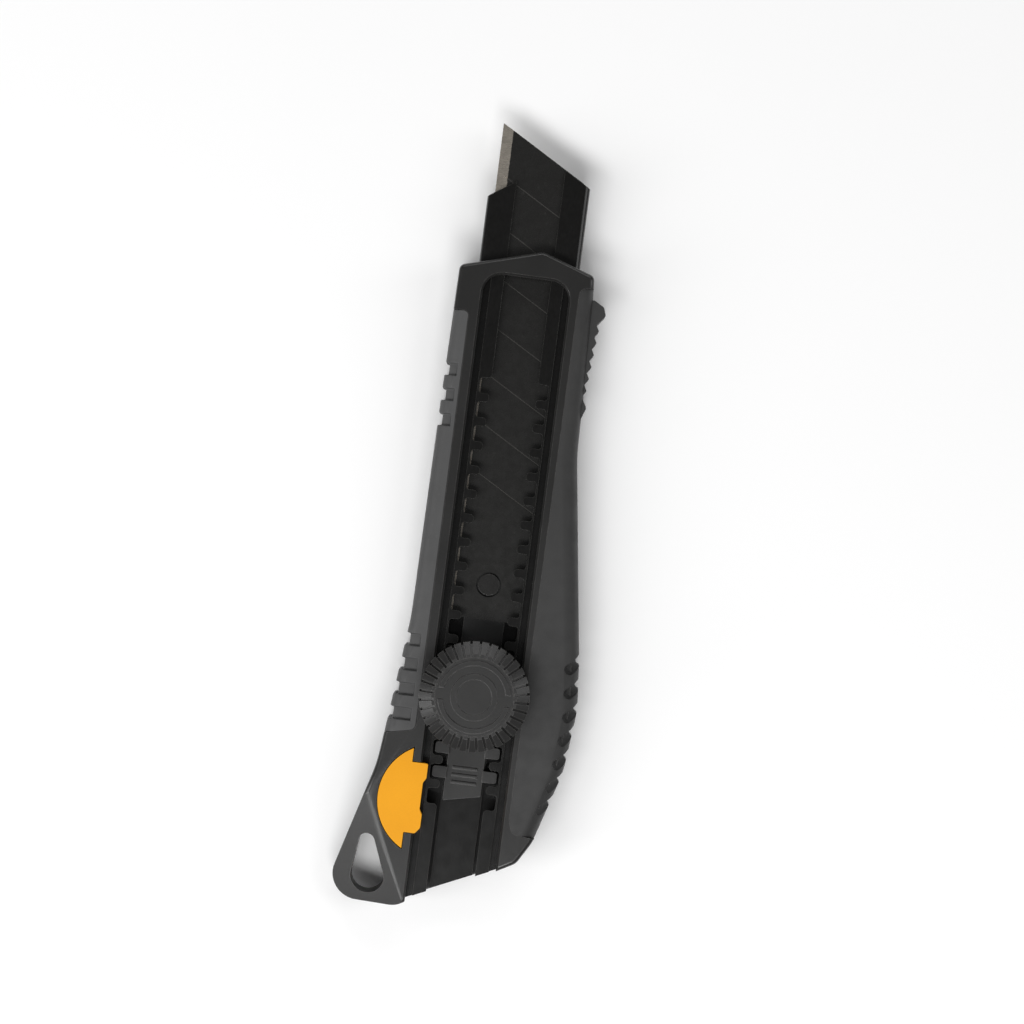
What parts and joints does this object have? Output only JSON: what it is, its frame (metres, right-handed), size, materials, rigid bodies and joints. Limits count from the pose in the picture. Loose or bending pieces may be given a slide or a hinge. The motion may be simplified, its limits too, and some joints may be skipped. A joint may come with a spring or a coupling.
{
  "type": "snap-off knife",
  "caption": "Utility knife with a segmented snap-off blade in a notched steel rail, soft grips, a round lock wheel, a crescent latch and a lanyard hole.",
  "frame": {"origin": "centre of the bounding box in plan, on the handle's flat back", "axes": "+Y along the rail towards the blade tip, +Z out of the face that carries the lock wheel, +X towards the spine side"},
  "size_m": [0.0458, 0.1628, 0.0199],
  "materials": {
    "hard_plastic": "fine satin texture",
    "soft_grip_spine": "soft matt",
    "soft_grip_edge": "soft matt",
    "black_steel": "satin black coating",
    "bright_steel": "turned, zinc plated",
    "spring_steel": "spring wire and strip",
    "blade_steel": "black oxide with a bright ground edge",
    "carrier_steel": "black oxide",
    "pin_steel": "worn black oxide",
    "slider_plastic": "black nylon",
    "tail_grey": "satin grey",
    "clamp_steel": "pressed steel",
    "nut_brass": "plain",
    "wheel_plastic": "satin",
    "cap_plastic": "satin",
    "latch_yellow": "smooth satin"
  },
  "bodies": {
    "handle": {"handle_body": "hard_plastic", "grip_right": "soft_grip_spine", "grip_left": "soft_grip_edge", "blade_rail": "black_steel", "rail_rivet_front": "bright_steel", "rail_rivet_rear": "bright_steel", "blade_spring": "spring_steel", "latch_spring": "spring_steel"},
    "carriage": {"slider_block": "slider_plastic", "slider_tail": "tail_grey", "slider_shoe": "slider_plastic", "thrust_washer": "bright_steel", "blade_carrier": "carrier_steel", "blade_pin": "pin_steel", "blade": "blade_steel", "clamp_spring": "spring_steel"},
    "clamp": {"clamp_plate": "clamp_steel", "clamp_screw": "bright_steel"},
    "wheel": {"lock_wheel": "wheel_plastic", "wheel_nut": "nut_brass", "wheel_cap": "cap_plastic"},
    "latch": {"latch": "latch_yellow"}
  },
  "joints": [
    {"name": "slider_travel", "type": "slide", "parent": "handle", "child": "carriage", "axis": [0, 1, 0], "range_m": [-0.015, 0.065]},
    {"name": "wheel_turn", "type": "hinge", "parent": "carriage", "child": "wheel", "pos_m": [0.00165, -0.03616, 0.015], "axis": [0, 0, -1], "range_deg": [0, 240]},
    {"name": "clamp_lift", "type": "slide", "parent": "carriage", "child": "clamp", "axis": [0, 0, 1], "range_m": [0, 0.001], "deforming": ["clamp_spring"]},
    {"name": "latch_press", "type": "slide", "parent": "handle", "child": "latch", "axis": [0, 0, -1], "range_m": [0, 0.0015], "stiffness_N_per_m": 400, "springref_m": -0.001, "deforming": ["latch_spring"]}
  ],
  "couplings": [
    {"joint": "clamp_lift", "follows": "wheel_turn", "m_per_rad": 0.00023871}
  ]
}
